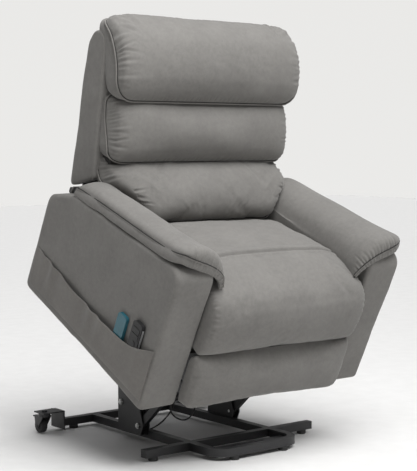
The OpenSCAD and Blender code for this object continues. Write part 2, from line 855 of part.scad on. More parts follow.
// Tube of 8 sides swept along a route that never runs straight along X
module swept(r, radius) {
  n = len(r);
  sides = 8;
  ring = [for (i = [0 : n - 1]) let (t = tangent(r, i), u = unit(cross(t, [1, 0.31, 0.2])), v = cross(t, u))
    for (k = [0 : sides - 1]) r[i] + radius * (cos(k * 360 / sides) * u + sin(k * 360 / sides) * v)];
  walls = [for (i = [0 : n - 2], k = [0 : sides - 1]) let (k2 = (k + 1) % sides)
    [i * sides + k, i * sides + k2, (i + 1) * sides + k2, (i + 1) * sides + k]];
  start = [for (k = [sides - 1 : -1 : 0]) k];
  end = [for (k = [0 : sides - 1]) (n - 1) * sides + k];
  polyhedron(points = ring, faces = concat(walls, [start, end]), convexity = 4);
}

// From the lift arms' cross tube back and down to the inner face of the right rail
clipped_route = [[-146, 102, 146.3], [-146, 105, 132], [-146, 118, 113], [-145, 140, 92], [-144, 168, 70],
  [-142, 200, 51], [-139, 230, 37], [-138, 252, 30], [-141, 262, 28], [-147.2, 263, 28]];

// Slack that hangs in a loop under the cross tube
hanging_route = [[-158, 102, 146.3], [-158, 104, 132], [-154, 108, 116], [-140, 112, 98],
  [-118, 114, 84], [-94, 115, 78], [-74, 115, 84], [-62, 112, 100], [-58, 106, 120], [-58, 102, 146.3]];

module clipped_lead() {
  color(rubber) base() swept(route(clipped_route, 4), lead_r);
}

module hanging_lead() {
  color(rubber) base() swept(route(hanging_route, 4), lead_r);
}

// ---- nodes -----------------------------------------------------------------------

base_rails();
front_bar();
rear_bar();
bow_plate();
end_caps();
rubber_feet();
upright("right");  // right_upright
upright("left");  // left_upright
upright_bolts();
actuator_clevis();
caster_brackets();
caster_fork("right");  // right_caster_fork
caster_fork("left");  // left_caster_fork
caster_wheel("right");  // right_caster_wheel
caster_wheel("left");  // left_caster_wheel
brake_lever("right");  // right_brake_lever
brake_lever("left");  // left_brake_lever
lift_arm("right");  // right_lift_arm
lift_arm("left");  // left_lift_arm
lift_cross_tube();
follower_link("right");  // right_follower_link
follower_link("left");  // left_follower_link
lift_actuator_body();
lift_actuator_rod();
seat_frame();
seat_springs();
lift_brackets();
bracket_pins();
recline_posts();
seat_cushion();
arm("right");  // right_arm
arm("left");  // left_arm
arm_pad("right");  // right_arm_pad
arm_pad("left");  // left_arm_pad
side_pocket();
rear_skirt();
control_box();
footrest_motor();
footrest_motor_rod();
footrest_inner_links();
footrest_outer_links();
footrest_board();
footrest_cushion();
back_frame();
back_brackets();
back_wing("right");  // right_back_wing
back_wing("left");  // left_back_wing
back_panel();
head_pillow();
middle_pillow();
lower_pillow();
handset_case();
handset_trim();
recline_key();
raise_key();
round_key();
massage_handset();
clipped_lead();
hanging_lead();
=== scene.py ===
import json
import math

import bmesh
import bpy
import numpy as np
from mathutils import Matrix, Vector

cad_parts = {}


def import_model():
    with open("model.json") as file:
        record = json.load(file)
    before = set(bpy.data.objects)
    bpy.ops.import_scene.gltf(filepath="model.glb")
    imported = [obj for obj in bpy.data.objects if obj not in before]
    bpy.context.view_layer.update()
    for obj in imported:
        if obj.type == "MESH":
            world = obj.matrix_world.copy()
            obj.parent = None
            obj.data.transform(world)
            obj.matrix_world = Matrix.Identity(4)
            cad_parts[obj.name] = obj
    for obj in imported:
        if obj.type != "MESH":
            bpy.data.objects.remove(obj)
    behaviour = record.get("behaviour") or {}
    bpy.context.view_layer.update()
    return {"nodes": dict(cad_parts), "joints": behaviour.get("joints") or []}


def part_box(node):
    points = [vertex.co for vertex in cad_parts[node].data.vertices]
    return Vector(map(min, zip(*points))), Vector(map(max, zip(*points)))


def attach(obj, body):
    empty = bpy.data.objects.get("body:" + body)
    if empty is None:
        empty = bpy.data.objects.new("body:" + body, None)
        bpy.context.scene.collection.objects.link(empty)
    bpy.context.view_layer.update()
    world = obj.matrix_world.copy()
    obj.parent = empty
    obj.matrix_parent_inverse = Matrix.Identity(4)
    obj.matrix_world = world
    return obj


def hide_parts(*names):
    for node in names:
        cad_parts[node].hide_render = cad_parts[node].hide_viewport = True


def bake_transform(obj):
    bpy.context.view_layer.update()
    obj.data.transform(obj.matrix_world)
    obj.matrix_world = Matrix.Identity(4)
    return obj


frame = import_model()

JOINTS = {joint["name"]: joint for joint in frame["joints"]}
MM = 0.001

# ---- the seat's own frame ----
# Everything that tilts with the seat is drawn in the seat's own frame, in millimetres:
# X across, Y to the rear along the seat, Z up from the seat's lower edge.

REAR = -np.array(JOINTS["footrest_motor_stroke"]["axis"])
UP = np.array([0.0, -REAR[2], REAR[1]])
BACK_PIVOT = (430, 290)
ORIGIN = (np.array(JOINTS["back_recline"]["pos_m"])
          - BACK_PIVOT[0] * MM * REAR - BACK_PIVOT[1] * MM * UP)

ARM_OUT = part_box("left_arm")[1].x / MM
ARM_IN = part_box("left_arm")[0].x / MM
REAR_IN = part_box("rear_skirt")[1].x / MM
SEAT_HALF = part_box("seat_cushion")[1].x / MM
FOOT_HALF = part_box("footrest_cushion")[1].x / MM


def world(points):
    """Points in the seat's own frame, in mm, as points in the row frame, in metres."""
    p = np.asarray(points, float)
    return (ORIGIN + np.outer(p[:, 0] * MM, [1, 0, 0])
            + np.outer(p[:, 1] * MM, REAR) + np.outer(p[:, 2] * MM, UP))


# ---- camera ----

CAMERA_AT = (-2.5954, -3.2850, 0.9619)
CAMERA_TURN = 0.668073
CAMERA_DROP = 0.0712022


def make_camera():
    data = bpy.data.cameras.new("camera")
    data.lens = 100.39
    data.sensor_width = 36
    camera = bpy.data.objects.new("camera", data)
    bpy.context.scene.collection.objects.link(camera)
    ahead = Vector((math.sin(CAMERA_TURN) * math.cos(CAMERA_DROP),
                    math.cos(CAMERA_TURN) * math.cos(CAMERA_DROP), -math.sin(CAMERA_DROP)))
    right = Vector((math.cos(CAMERA_TURN), -math.sin(CAMERA_TURN), 0))
    up = right.cross(ahead)
    turn = Matrix((right, up, -ahead)).transposed().to_4x4()
    camera.matrix_world = Matrix.Translation(CAMERA_AT) @ turn
    bpy.context.scene.camera = camera


# ---- materials ----


def new_material(name):
    material = bpy.data.materials.new(name)
    material.use_nodes = True
    return material, material.node_tree, material.node_tree.nodes["Principled BSDF"]


def add_node(tree, kind, **values):
    node = tree.nodes.new(kind)
    for key, value in values.items():
        setattr(node, key, value)
    return node


def noise(tree, place, scale, detail=2.0, roughness=0.5):
    node = add_node(tree, "ShaderNodeTexNoise")
    node.inputs["Scale"].default_value = scale
    node.inputs["Detail"].default_value = detail
    node.inputs["Roughness"].default_value = roughness
    tree.links.new(place, node.inputs["Vector"])
    return node.outputs["Fac"]


def ramp(tree, source, stops):
    node = add_node(tree, "ShaderNodeValToRGB")
    elements = node.color_ramp.elements
    elements[0].position, elements[0].color = stops[0][0], (*stops[0][1], 1)
    elements[1].position, elements[1].color = stops[-1][0], (*stops[-1][1], 1)
    for place, colour in stops[1:-1]:
        elements.new(place).color = (*colour, 1)
    tree.links.new(source, node.inputs["Fac"])
    return node.outputs["Color"]


def grey_ramp(tree, source, *stops):
    return ramp(tree, source, [(place, (grey,) * 3) for place, grey in stops])


def mix(tree, a, b, share, blend="MIX"):
    node = add_node(tree, "ShaderNodeMix", data_type="RGBA", blend_type=blend)
    for value, socket in ((share, node.inputs[0]), (a, node.inputs[6]), (b, node.inputs[7])):
        if isinstance(value, bpy.types.NodeSocket):
            tree.links.new(value, socket)
        else:
            socket.default_value = value if isinstance(value, float) else (*value, 1)
    return node.outputs[2]


def bump(tree, shader, heights):
    """Bumps one on another: pairs of a height socket, its strength and its depth in metres."""
    normal = None
    for height, strength, depth in heights:
        node = add_node(tree, "ShaderNodeBump")
        node.inputs["Strength"].default_value = strength
        node.inputs["Distance"].default_value = depth
        tree.links.new(height, node.inputs["Height"])
        if normal:
            tree.links.new(normal, node.inputs["Normal"])
        normal = node.outputs["Normal"]
    tree.links.new(normal, shader.inputs["Normal"])


def object_place(tree):
    return add_node(tree, "ShaderNodeTexCoord").outputs["Object"]


def scaled(tree, place, factors):
    node = add_node(tree, "ShaderNodeMapping")
    node.inputs["Scale"].default_value = factors
    tree.links.new(place, node.inputs["Vector"])
    return node.outputs["Vector"]


def tone(colour, factor):
    return tuple(c * factor for c in colour)


def fabric_material(name, colour):
    """Brushed suede-like cloth: clouded nap, fine grain and a faint woven line."""
    material, tree, shader = new_material(name)
    place = object_place(tree)
    clouds = noise(tree, place, 9.0, 3.0, 0.55)
    nap = noise(tree, place, 75.0, 4.0, 0.65)
    grain = noise(tree, place, 900.0, 2.0, 0.6)
    slubs = noise(tree, scaled(tree, place, (260, 900, 260)), 1.0, 3.0, 0.6)
    base = ramp(tree, clouds, [(0.3, tone(colour, 0.93)), (0.7, tone(colour, 1.07))])
    napped = mix(tree, base, grey_ramp(tree, nap, (0.3, 0.42), (0.7, 0.58)), 0.55, "OVERLAY")
    grained = mix(tree, napped, grey_ramp(tree, grain, (0.25, 0.36), (0.75, 0.64)), 0.4, "OVERLAY")
    tree.links.new(grained, shader.inputs["Base Color"])
    rough = grey_ramp(tree, nap, (0.3, 0.86), (0.7, 0.97))
    tree.links.new(rough, shader.inputs["Roughness"])
    shader.inputs["Specular IOR Level"].default_value = 0.25
    shader.inputs["Sheen Weight"].default_value = 0.14
    shader.inputs["Sheen Roughness"].default_value = 0.45
    bump(tree, shader, [(nap, 0.25, 0.0012), (slubs, 0.3, 0.0004), (grain, 0.35, 0.0004)])
    return material


def metal_material(name, colour, roughness, metallic, depth, scale):
    material, tree, shader = new_material(name)
    place = object_place(tree)
    peel = noise(tree, place, scale, 3.0, 0.5)
    smears = noise(tree, place, 22.0, 4.0, 0.6)
    tree.links.new(ramp(tree, smears, [(0.3, tone(colour, 0.85)), (0.7, tone(colour, 1.15))]),
                   shader.inputs["Base Color"])
    low, high = roughness
    tree.links.new(grey_ramp(tree, smears, (0.25, low), (0.75, high)), shader.inputs["Roughness"])
    shader.inputs["Metallic"].default_value = metallic
    bump(tree, shader, [(peel, 0.25, depth)])
    return material


def wood_material(name):
    """Plywood: long pale fibres with darker streaks."""
    material, tree, shader = new_material(name)
    fibres = noise(tree, scaled(tree, object_place(tree), (4, 160, 160)), 1.0, 5.0, 0.6)
    tree.links.new(ramp(tree, fibres, [(0.3, (0.36, 0.24, 0.13)), (0.7, (0.6, 0.45, 0.28))]),
                   shader.inputs["Base Color"])
    shader.inputs["Roughness"].default_value = 0.7
    bump(tree, shader, [(fibres, 0.3, 0.0006)])
    return material


# seam is a near-black colour for a thin tube laid along each piped rim: painted shade for the dark crease
# beside the piping
FABRICS = {
    "fabric_main": (0.15, 0.145, 0.137), "fabric_trim": (0.142, 0.135, 0.126),
    "fabric_piping": (0.15, 0.144, 0.135), "seam": (0.022, 0.021, 0.02), "lining": (0.02, 0.019, 0.018)}
# Colour, least and most roughness, metallic, depth of the fine bumps in metres, and their scale
HARD = {
    "black_steel": ((0.014, 0.014, 0.015), (0.38, 0.55), 0.0, 0.0003, 700),
    "zinc": ((0.6, 0.61, 0.6), (0.22, 0.4), 1.0, 0.0001, 300),
    "black_plastic": ((0.009, 0.009, 0.0095), (0.42, 0.6), 0.0, 0.0002, 1300),
    "silver_trim": ((0.6, 0.61, 0.63), (0.28, 0.42), 0.9, 0.0001, 900),
    "rubber": ((0.02, 0.02, 0.02), (0.7, 0.88), 0.0, 0.0003, 800),
    "teal_plastic": ((0.02, 0.1, 0.13), (0.16, 0.28), 0.0, 0.0001, 500)}


def make_materials():
    made = {name: fabric_material(name, colour) for name, colour in FABRICS.items()}
    made.update((name, metal_material(name, *values)) for name, values in HARD.items())
    made["wood"] = wood_material("wood")
    return made


def dress_frame(materials):
    """Gives every CAD node the material of its own slot."""
    for node in frame["nodes"].values():
        for i, old in enumerate(node.data.materials):
            node.data.materials[i] = materials[old.name.split(".")[0]]
    # The back's wooden frame is covered in black lining
    frame["nodes"]["back_frame"].data.materials[0] = materials["lining"]


# ---- mesh tools ----


def new_piece(name, points, faces, material):
    mesh = bpy.data.meshes.new(name)
    mesh.from_pydata([tuple(p) for p in points], [], faces)
    mesh.polygons.foreach_set("use_smooth", [True] * len(mesh.polygons))
    mesh.materials.append(material)
    piece = bpy.data.objects.new(name, mesh)
    bpy.context.scene.collection.objects.link(piece)
    return piece


def catmull(points, steps=12):
    """A smooth line through the points."""
    p = np.asarray(points, float)
    p = np.vstack([2 * p[0] - p[1], p, 2 * p[-1] - p[-2]])
    out = []
    for i in range(1, len(p) - 2):
        for t in np.arange(steps) / steps:
            out.append(0.5 * (2 * p[i] + (p[i + 1] - p[i - 1]) * t
                              + (2 * p[i - 1] - 5 * p[i] + 4 * p[i + 1] - p[i + 2]) * t ** 2
                              + (3 * p[i] - p[i - 1] - 3 * p[i + 1] + p[i + 2]) * t ** 3))
    return np.array(out + [p[-2]])


def length_along(line):
    return np.concatenate([[0], np.cumsum(np.linalg.norm(np.diff(line, axis=0), axis=1))])


def at_shares(line, shares):
    """Points at these shares, 0 to 1, of a line's length."""
    run = length_along(line)
    wanted = np.asarray(shares) * run[-1]
    return np.stack([np.interp(wanted, run, line[:, k]) for k in range(line.shape[1])], axis=1)


def convex_outline(corners, count):
    """The outline round circles (y, z, radius), evenly spaced, anticlockwise."""
    turn = np.linspace(0, 2 * math.pi, 20, endpoint=False)
    cloud = sorted({(round(y + r * c, 4), round(z + r * s, 4))
                    for y, z, r in corners for c, s in zip(np.cos(turn), np.sin(turn))})

    def half_hull(points):
        hull = []
        for p in points:
            while len(hull) > 1 and ((hull[-1][0] - hull[-2][0]) * (p[1] - hull[-2][1])
                                     - (hull[-1][1] - hull[-2][1]) * (p[0] - hull[-2][0])) <= 0:
                hull.pop()
            hull.append(p)
        return hull[:-1]

    hull = np.array(half_hull(cloud) + half_hull(cloud[::-1]))
    closed = np.vstack([hull, hull[:1]])
    return at_shares(closed, np.arange(count) / count)


def inset_outline(outline, inset):
    """A convex outline drawn inwards, each point towards the middle."""
    middle = outline.mean(0)
    edges = np.roll(outline, -1, axis=0) - outline
    normals = np.stack([edges[:, 1], -edges[:, 0]], axis=1)
    normals /= np.linalg.norm(normals, axis=1)[:, None]
    reach = (normals * (outline - middle)).sum(1) - inset
    towards = outline - middle
    facing = towards @ normals.T
    share = np.where(facing > 1e-9, reach[None, :] / np.maximum(facing, 1e-9), np.inf).min(1)
    return middle + towards * share[:, None]


def ring_faces(first, second, count):
    """Quads between two closed rings that start at these indices."""
    return [(first + i, first + (i + 1) % count, second + (i + 1) % count, second + i) for i in range(count)]


def tube_mesh(line, radius, sides, closed=False):
    """Points and faces of a round tube along a line."""
    line = np.asarray(line, float)
    count = len(line)
    if closed:
        ahead = np.roll(line, -1, axis=0) - np.roll(line, 1, axis=0)
    else:
        ahead = np.gradient(line, axis=0)
    ahead /= np.linalg.norm(ahead, axis=1)[:, None]
    side = np.cross(ahead[0], [0.31, 0.22, 0.93])
    frames = []
    for t in ahead:
        side = side - t * (side @ t)
        side = side / np.linalg.norm(side)
        frames.append((side, np.cross(t, side)))
    turn = np.arange(sides) * 2 * math.pi / sides
    points, faces = [], []
    for at, (a, b) in zip(line, frames):
        points += [at + radius * (math.cos(w) * a + math.sin(w) * b) for w in turn]
    for k in range(count - 1):
        faces += ring_faces(k * sides, (k + 1) * sides, sides)
    if closed:
        faces += bridge_rings(points, (count - 1) * sides, 0, sides)
    else:
        faces.append(tuple(range(sides))[::-1])
        faces.append(tuple(range((count - 1) * sides, count * sides)))
    return points, faces


def bridge_rings(points, first, second, sides):
    """Quads between a tube's last ring and its first, turned to the nearest fit."""
    start = np.array(points[first])
    gaps = [np.linalg.norm(start - points[second + k]) for k in range(sides)]
    shift = int(np.argmin(gaps))
    return [(first + i, first + (i + 1) % sides, second + (i + 1 + shift) % sides,
             second + (i + shift) % sides) for i in range(sides)]


def merge(parts):
    """Several (points, faces) as one."""
    points, faces = [], []
    for some, more in parts:
        start = len(points)
        points += [tuple(p) for p in some]
        faces += [tuple(start + i for i in face) for face in more]
    return points, faces


def read_points(mesh, name="co"):
    values = np.empty(len(mesh.vertices) * 3, np.float32)
    if name == "co":
        mesh.vertices.foreach_get("co", values)
    else:
        mesh.vertex_normals.foreach_get("vector", values)
    return values.reshape(-1, 3).astype(float)


def write_points(mesh, points):
    mesh.vertices.foreach_set("co", np.asarray(points, np.float32).ravel())
    mesh.update()


def raise_points(mesh, at, rise):
    """Moves the points, which are at these places, along their normals by rise, in mm."""
    write_points(mesh, at + read_points(mesh, "normal") * (rise * MM)[:, None])


def read_share(mesh, name):
    values = np.empty(len(mesh.vertices), np.float32)
    mesh.attributes[name].data.foreach_get("value", values)
    return values.astype(float)


def write_share(mesh, name, values):
    layer = mesh.attributes.new(name, "FLOAT", "POINT")
    layer.data.foreach_set("value", np.asarray(values, np.float32))


def apply_modifiers(piece):
    bpy.context.view_layer.update()
    graph = bpy.context.evaluated_depsgraph_get()
    mesh = bpy.data.meshes.new_from_object(piece.evaluated_get(graph))
    old = piece.data
    piece.modifiers.clear()
    piece.data = mesh
    bpy.data.meshes.remove(old)


def subdivide(piece, levels):
    step = piece.modifiers.new("subdivide", "SUBSURF")
    step.levels = levels
    step.render_levels = levels
    apply_modifiers(piece)


def waves(points, seed, size, depth):
    """Smooth seeded unevenness, in metres, at points in metres."""
    draw = np.random.default_rng(seed)
    total = np.zeros(len(points))
    for _ in range(10):
        way = draw.normal(size=3)
        way /= np.linalg.norm(way)
        total += np.sin(points @ way * 2 * math.pi / (size * draw.uniform(0.6, 1.6)) + draw.uniform(0, 7))
    return depth * total / 3.2


# ---- cords ----

BASE_Y = -JOINTS["lift"]["pos_m"][1] / MM + 220
LEAD_R = 2.5

# Routes in the base's own frame, in mm: X across, Y back from the front bar, Z up
CLIPPED_ROUTE = [(-146, 102, 146.3), (-146, 105, 132), (-146, 118, 113), (-145, 140, 92),
                 (-144, 168, 70), (-142, 200, 51), (-139, 230, 37), (-138, 252, 30),
                 (-141, 262, 28), (-147.2, 263, 28)]
HANGING_ROUTE = [(-158, 102, 146.3), (-158, 104, 132), (-154, 108, 116), (-140, 112, 98),
                 (-118, 114, 84), (-94, 115, 78), (-74, 115, 84), (-62, 112, 100),
                 (-58, 106, 120), (-58, 102, 146.3)]


def make_lead(name, route, materials):
    line = catmull([(x * MM, (y - BASE_Y) * MM, z * MM) for x, y, z in route], 8)
    points, faces = tube_mesh(line, LEAD_R * MM, 12)
    piece = new_piece(name, points, faces, materials["rubber"])
    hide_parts(name)
    return piece, line


def make_cords(materials):
    clipped, line = make_lead("clipped_lead", CLIPPED_ROUTE, materials)
    clipped.name = "actuator_lead"
    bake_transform(clipped)
    hanging, line = make_lead("hanging_lead", HANGING_ROUTE, materials)
    hanging.name = "spare_lead_loop"
    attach(hanging, "lift_arms")


# ---- pillows and cushions ----


class Pad:
    """A stuffed cushion with a crowned front, a piped rim, a side band and a back."""

    BACK_CORNERS = (14, 14)
    BAND_STEPS = 4
    SOFTNESS = 2.4

    def __init__(self, name, side, mid, half, back, back_half, corners, sharp, side_depth=0, cell=9.0,
                 band_bulge=7.0):
        self.name = name
        side_line, mid_line, back_line = catmull(side), catmull(mid), catmull(back)
        length = length_along(side_line)[-1]
        rows = self.row_places(length, cell, corners)
        shares = rows / length
        widths = half(shares) if callable(half) else np.full(len(rows), float(half))
        full = widths + (back_half - float(np.max(widths)))
        widths = widths - self.corner_cut(rows, length, corners)
        back_widths = full - self.corner_cut(rows, length, self.BACK_CORNERS)
        columns = int(round(2 * float(np.max(widths)) / cell)) + 1
        across = np.linspace(-1, 1, columns)
        across = 0.9 * across + 0.1 * np.sin(across * math.pi / 2)
        side_yz, mid_yz, back_yz = (at_shares(c, shares) for c in (side_line, mid_line, back_line))
        tall, wide = sharp
        rise = (1 - np.abs(2 * shares - 1) ** tall)[:, None] * (1 - np.abs(across) ** wide)[None, :]
        rise = np.clip(rise, 0, 1) ** (1 / self.SOFTNESS)
        self.rows, self.columns = len(rows), columns
        front = np.empty((self.rows, columns, 3))
        front[:, :, 0] = widths[:, None] * across[None, :]
        front[:, :, 1:] = side_yz[:, None] + (mid_yz - side_yz)[:, None] * rise[:, :, None]
        rear = np.empty_like(front)
        rear[:, :, 0] = back_widths[:, None] * across[None, :]
        rear[:, :, 1:] = np.broadcast_to(back_yz[:, None], (self.rows, columns, 2))
        rear[:, :, 1] += side_depth * np.clip((np.abs(across) - 0.955) / 0.02, 0, 1)[None, :]
        self.build(front, rear, rows, widths, across, band_bulge)

    @staticmethod
    def row_places(length, cell, corners):
        """Rows along the profile, closer together where the corners turn."""
        low, high = corners
        steps = 5
        turn = 1 - np.cos(np.linspace(0, math.pi / 2, steps + 1))
        middle = np.linspace(low, length - high, max(4, int((length - low - high) / cell)))
        return np.concatenate([low * turn[:-1], middle, length - high * turn[-2::-1]])

    @staticmethod
    def corner_cut(rows, length, corners):
        low, high = corners
        cut = np.zeros(len(rows))
        near = np.clip(low - rows, 0, low)
        cut += low - np.sqrt(low ** 2 - near ** 2)
        near = np.clip(high - (length - rows), 0, high)
        return cut + high - np.sqrt(np.maximum(high ** 2 - near ** 2, 0))

    def build(self, front, rear, rows, widths, across, band_bulge):
        """Front, band and back as one closed mesh, with each point's place on the pad."""
        band = self.BAND_STEPS
        r, c = self.rows, self.columns
        ring = [(i, 0) for i in range(r)] + [(r - 1, j) for j in range(1, c)]
        ring += [(i, c - 1) for i in range(r - 2, -1, -1)] + [(0, j) for j in range(c - 2, 0, -1)]
        rim = np.array([front[i, j] for i, j in ring])
        back_rim = np.array([rear[i, j] for i, j in ring])
        along = np.roll(rim, -1, axis=0) - np.roll(rim, 1, axis=0)
        out = np.cross(along, back_rim - rim)
        out /= np.maximum(np.linalg.norm(out, axis=1), 1e-9)[:, None]
        if ((rim - rim.mean(0)) * out).sum() < 0:
            out = -out
        points = [front.reshape(-1, 3)]
        heights = np.repeat(rows, c)
        sides = (widths[:, None] * across[None, :]).ravel()
        edge_u = np.array([rows[i] for i, _ in ring])
        edge_v = np.array([widths[i] * across[j] for i, j in ring])
        places = [heights]
        asides = [sides]
        layers = [np.zeros(r * c)]
        for k in range(1, band):
            t = k / band
            points.append(rim + (back_rim - rim) * t + out * band_bulge * math.sin(math.pi * t))
            places.append(edge_u)
            asides.append(edge_v)
            layers.append(np.full(len(ring), t))
        points.append(rear.reshape(-1, 3))
        places.append(heights)
        asides.append(sides)
        layers.append(np.ones(r * c))
        self.points = np.vstack(points)
        self.u, self.v, self.layer = (np.concatenate(a) for a in (places, asides, layers))
        n = len(ring)
        back_start = r * c + (band - 1) * n
        front_ring = [i * c + j for i, j in ring]
        rings = [front_ring] + [[r * c + k * n + i for i in range(n)] for k in range(band - 1)]
        rings.append([back_start + i for i in front_ring])
        faces = []
        for i in range(r - 1):
            for j in range(c - 1):
                a = i * c + j
                faces.append((a, a + 1, a + c + 1, a + c))
                b = back_start + a
                faces.append((b, b + c, b + c + 1, b + 1))
        for near, far in zip(rings, rings[1:]):
            for i in range(n):
                j = (i + 1) % n
                faces.append((near[i], near[j], far[j], far[i]))
        self.faces = faces
        self.ring = front_ring
        self.rim, self.out = rim, out
        self.length = rows[-1]
        self.widths = widths

    def make(self, material):
        self.piece = new_piece(self.name, world(self.points), self.faces, material)
        mesh = self.piece.data
        write_share(mesh, "pad_u", self.u)
        write_share(mesh, "pad_v", self.v)
        write_share(mesh, "pad_layer", self.layer)
        return self.piece

    def piping(self, radius, lift):
        """A tube along the rim, used for the sewn piping cord and for the near-black tube of painted shade
        beside it.
        """
        line = self.rim + self.out * lift
        keep = [0]
        for i in range(1, len(line)):
            if np.linalg.norm(line[i] - line[keep[-1]]) > 4:
                keep.append(i)
        closed = np.vstack([line[keep], line[:1]])
        count = int(length_along(closed)[-1] / 6)
        even = at_shares(closed, np.arange(count) / count)
        return tube_mesh(world(even), radius * MM, 8, closed=True)


CLOTH_PRESSURE = 4.0
CLOTH_FRAMES = 20
# How far the cloth may rise, in mm
CLOTH_CAP = 24.0


def simulate(pads):
    """Inflates the pads' fronts as cloth, all together, with their rims and backs held."""
    scene = bpy.context.scene
    starts = []
    for pad in pads:
        piece = pad.piece
        group = piece.vertex_groups.new(name="held")
        free = (pad.layer < 0.01)
        free[pad.ring] = False
        group.add([int(i) for i in np.flatnonzero(~free)], 1.0, "REPLACE")
        step = piece.modifiers.new("cloth", "CLOTH")
        cloth = step.settings
        cloth.quality = 6
        cloth.mass = 0.25
        cloth.tension_stiffness = 12
        cloth.compression_stiffness = 8
        cloth.shear_stiffness = 5
        cloth.bending_stiffness = 0.35
        cloth.use_pressure = True
        cloth.uniform_pressure_force = CLOTH_PRESSURE
        cloth.shrink_min = pad.shrink
        cloth.vertex_group_mass = "held"
        cloth.effector_weights.gravity = 0
        step.collision_settings.use_collision = False
        step.point_cache.frame_start = 1
        step.point_cache.frame_end = CLOTH_FRAMES
        starts.append(read_points(piece.data))
    for frame_number in range(1, CLOTH_FRAMES + 1):
        scene.frame_set(frame_number)
    for pad, start in zip(pads, starts):
        apply_modifiers(pad.piece)
        moved = read_points(pad.piece.data) - start
        far = np.linalg.norm(moved, axis=1)
        share = np.minimum(1, CLOTH_CAP * MM / np.maximum(far, 1e-9))
        write_points(pad.piece.data, start + moved * share[:, None])
        pad.piece.vertex_groups.clear()
    scene.frame_set(1)


def creases(u, v, rows):
    """Depth of gathers. Each row is start u, start v, heading in degrees, length, width, depth."""
    total = np.zeros(len(u))
    for u0, v0, heading, length, width, depth in rows:
        a = math.radians(heading)
        du, dv = u - u0, v - v0
        near = (np.abs(du) < length + 4 * width) & (np.abs(dv) < length + 4 * width)
        du, dv = du[near], dv[near]
        t = (du * math.sin(a) + dv * math.cos(a)) / length
        q = (-du * math.cos(a) + dv * math.sin(a)) / width
        fade = np.clip(1 - t, 0, 1) ** 1.4 * np.clip((t + 0.12) / 0.12, 0, 1)
        shape = -np.exp(-q ** 2) + 0.45 * np.exp(-((np.abs(q) - 1.9) / 0.9) ** 2)
        total[near] += depth * fade * shape
    return total


def finish_pad(pad, rows, seed, grooves=(), ripple=1.6):
    """Subdivides a pad and adds its gathers, sewn lines and slight unevenness."""
    subdivide(pad.piece, 2)
    mesh = pad.piece.data
    u, v, layer = (read_share(mesh, key) for key in ("pad_u", "pad_v", "pad_layer"))
    points = read_points(mesh)
    normals = read_points(mesh, "normal")
    front = np.clip(1 - layer * 4, 0, 1)
    depth = creases(u, v, rows) * front
    for centre, width, deep in grooves:
        q = (u - centre(v)) / width
        depth += (-deep * np.exp(-q ** 2) + 0.4 * deep * np.exp(-((np.abs(q) - 2.6) / 1.3) ** 2)) * front
    edge = np.clip(np.minimum(np.minimum(u, pad.length - u), pad.widths.max() - np.abs(v)) / 40, 0, 1)
    uneven = waves(points, seed, 0.16, ripple) + waves(points, seed + 1, 0.05, ripple * 0.22)
    depth += uneven * edge * (layer < 0.5)
    write_points(mesh, points + normals * (depth * MM)[:, None])


def gather_row(draw, start, end, heading, spacing, length, depth, width=4.0, scatter=14):
    """Gathers along a seam from start to end, each (u, v)."""
    start, end = np.array(start, float), np.array(end, float)
    span = np.linalg.norm(end - start)
    rows, s = [], spacing * 0.5
    while s < span:
        u0, v0 = start + (end - start) * s / span
        rows.append((u0, v0, heading + draw.uniform(-scatter, scatter), length * draw.uniform(0.55, 1.35),
                     width * draw.uniform(0.75, 1.3), depth * draw.uniform(0.4, 1.2)))
        s += spacing * draw.uniform(0.6, 1.5)
    return rows


# ---- arms, wings and panels ----

CROWN_RINGS = 9


def slab_mesh(outline, stations, crown, shape=None):
    """A solid between two flat sides: stations are (x, inset) from the low side to the high side."""
    count = len(outline)
    points, faces = [], []
    low, high = crown
    inner = np.linspace(1, 0, CROWN_RINGS + 1)[1:-1]
    first_x, first_inset = stations[0]
    last_x, last_inset = stations[-1]
    layers = []
    first = inset_outline(outline, first_inset)
    middle = first.mean(0)
    for s in inner[::-1]:
        layers.append((first_x - low * (1 - s ** 2), middle + (first - middle) * s))
    for x, inset in stations:
        layers.append((x, inset_outline(outline, inset)))
    last = inset_outline(outline, last_inset)
    middle_last = last.mean(0)
    for s in inner:
        layers.append((last_x + high * (1 - s ** 2), middle_last + (last - middle_last) * s))
    for x, ring in layers:
        points += [(x, y, z) for y, z in ring]
    for k in range(len(layers) - 1):
        faces += ring_faces(k * count, (k + 1) * count, count)
    points.append((first_x - low, *middle))
    points.append((last_x + high, *middle_last))
    start, end = len(points) - 2, len(points) - 1
    top = (len(layers) - 1) * count
    for i in range(count):
        j = (i + 1) % count
        faces.append((start, j, i))
        faces.append((end, top + i, top + j))
    points = np.array(points, float)
    return (shape(points) if shape else points), faces


def roundover(low, high, radius_low, radius_high):
    """Stations across a slab whose long edges are rounded over."""
    turn = np.linspace(0, math.pi / 2, 6)
    start = [(low + radius_low * (1 - math.cos(a)), radius_low * (1 - math.sin(a))) for a in turn]
    end = [(high - radius_high * (1 - math.cos(a)), radius_high * (1 - math.sin(a))) for a in turn[::-1]]
    middle = np.linspace(start[-1][0], end[0][0], 5)[1:-1]
    return start + [(x, 0.0) for x in middle] + end


def mirrored(points, faces, side):
    """side is 1 for +X and -1 for -X."""
    if side > 0:
        return points, faces
    return points * np.array([-1, 1, 1]), [face[::-1] for face in faces]


ARM_CORNERS = [(6, 6, 6), (42, 421, 42), (560, 372, 32), (658, 316, 42), (689, 22, 16)]
WING_CORNERS = [(610, 447, 10), (703, 378, 8), (790, 812, 16), (754, 824, 46), (686, 716, 10)]
PANEL_CORNERS = [(684, 368, 3), (790, 820, 10), (784, 824, 10), (682, 372, 3)]


# Where the arm starts to get thinner along Y, and over what run
THIN_FROM, THIN_RUN = 380, 24


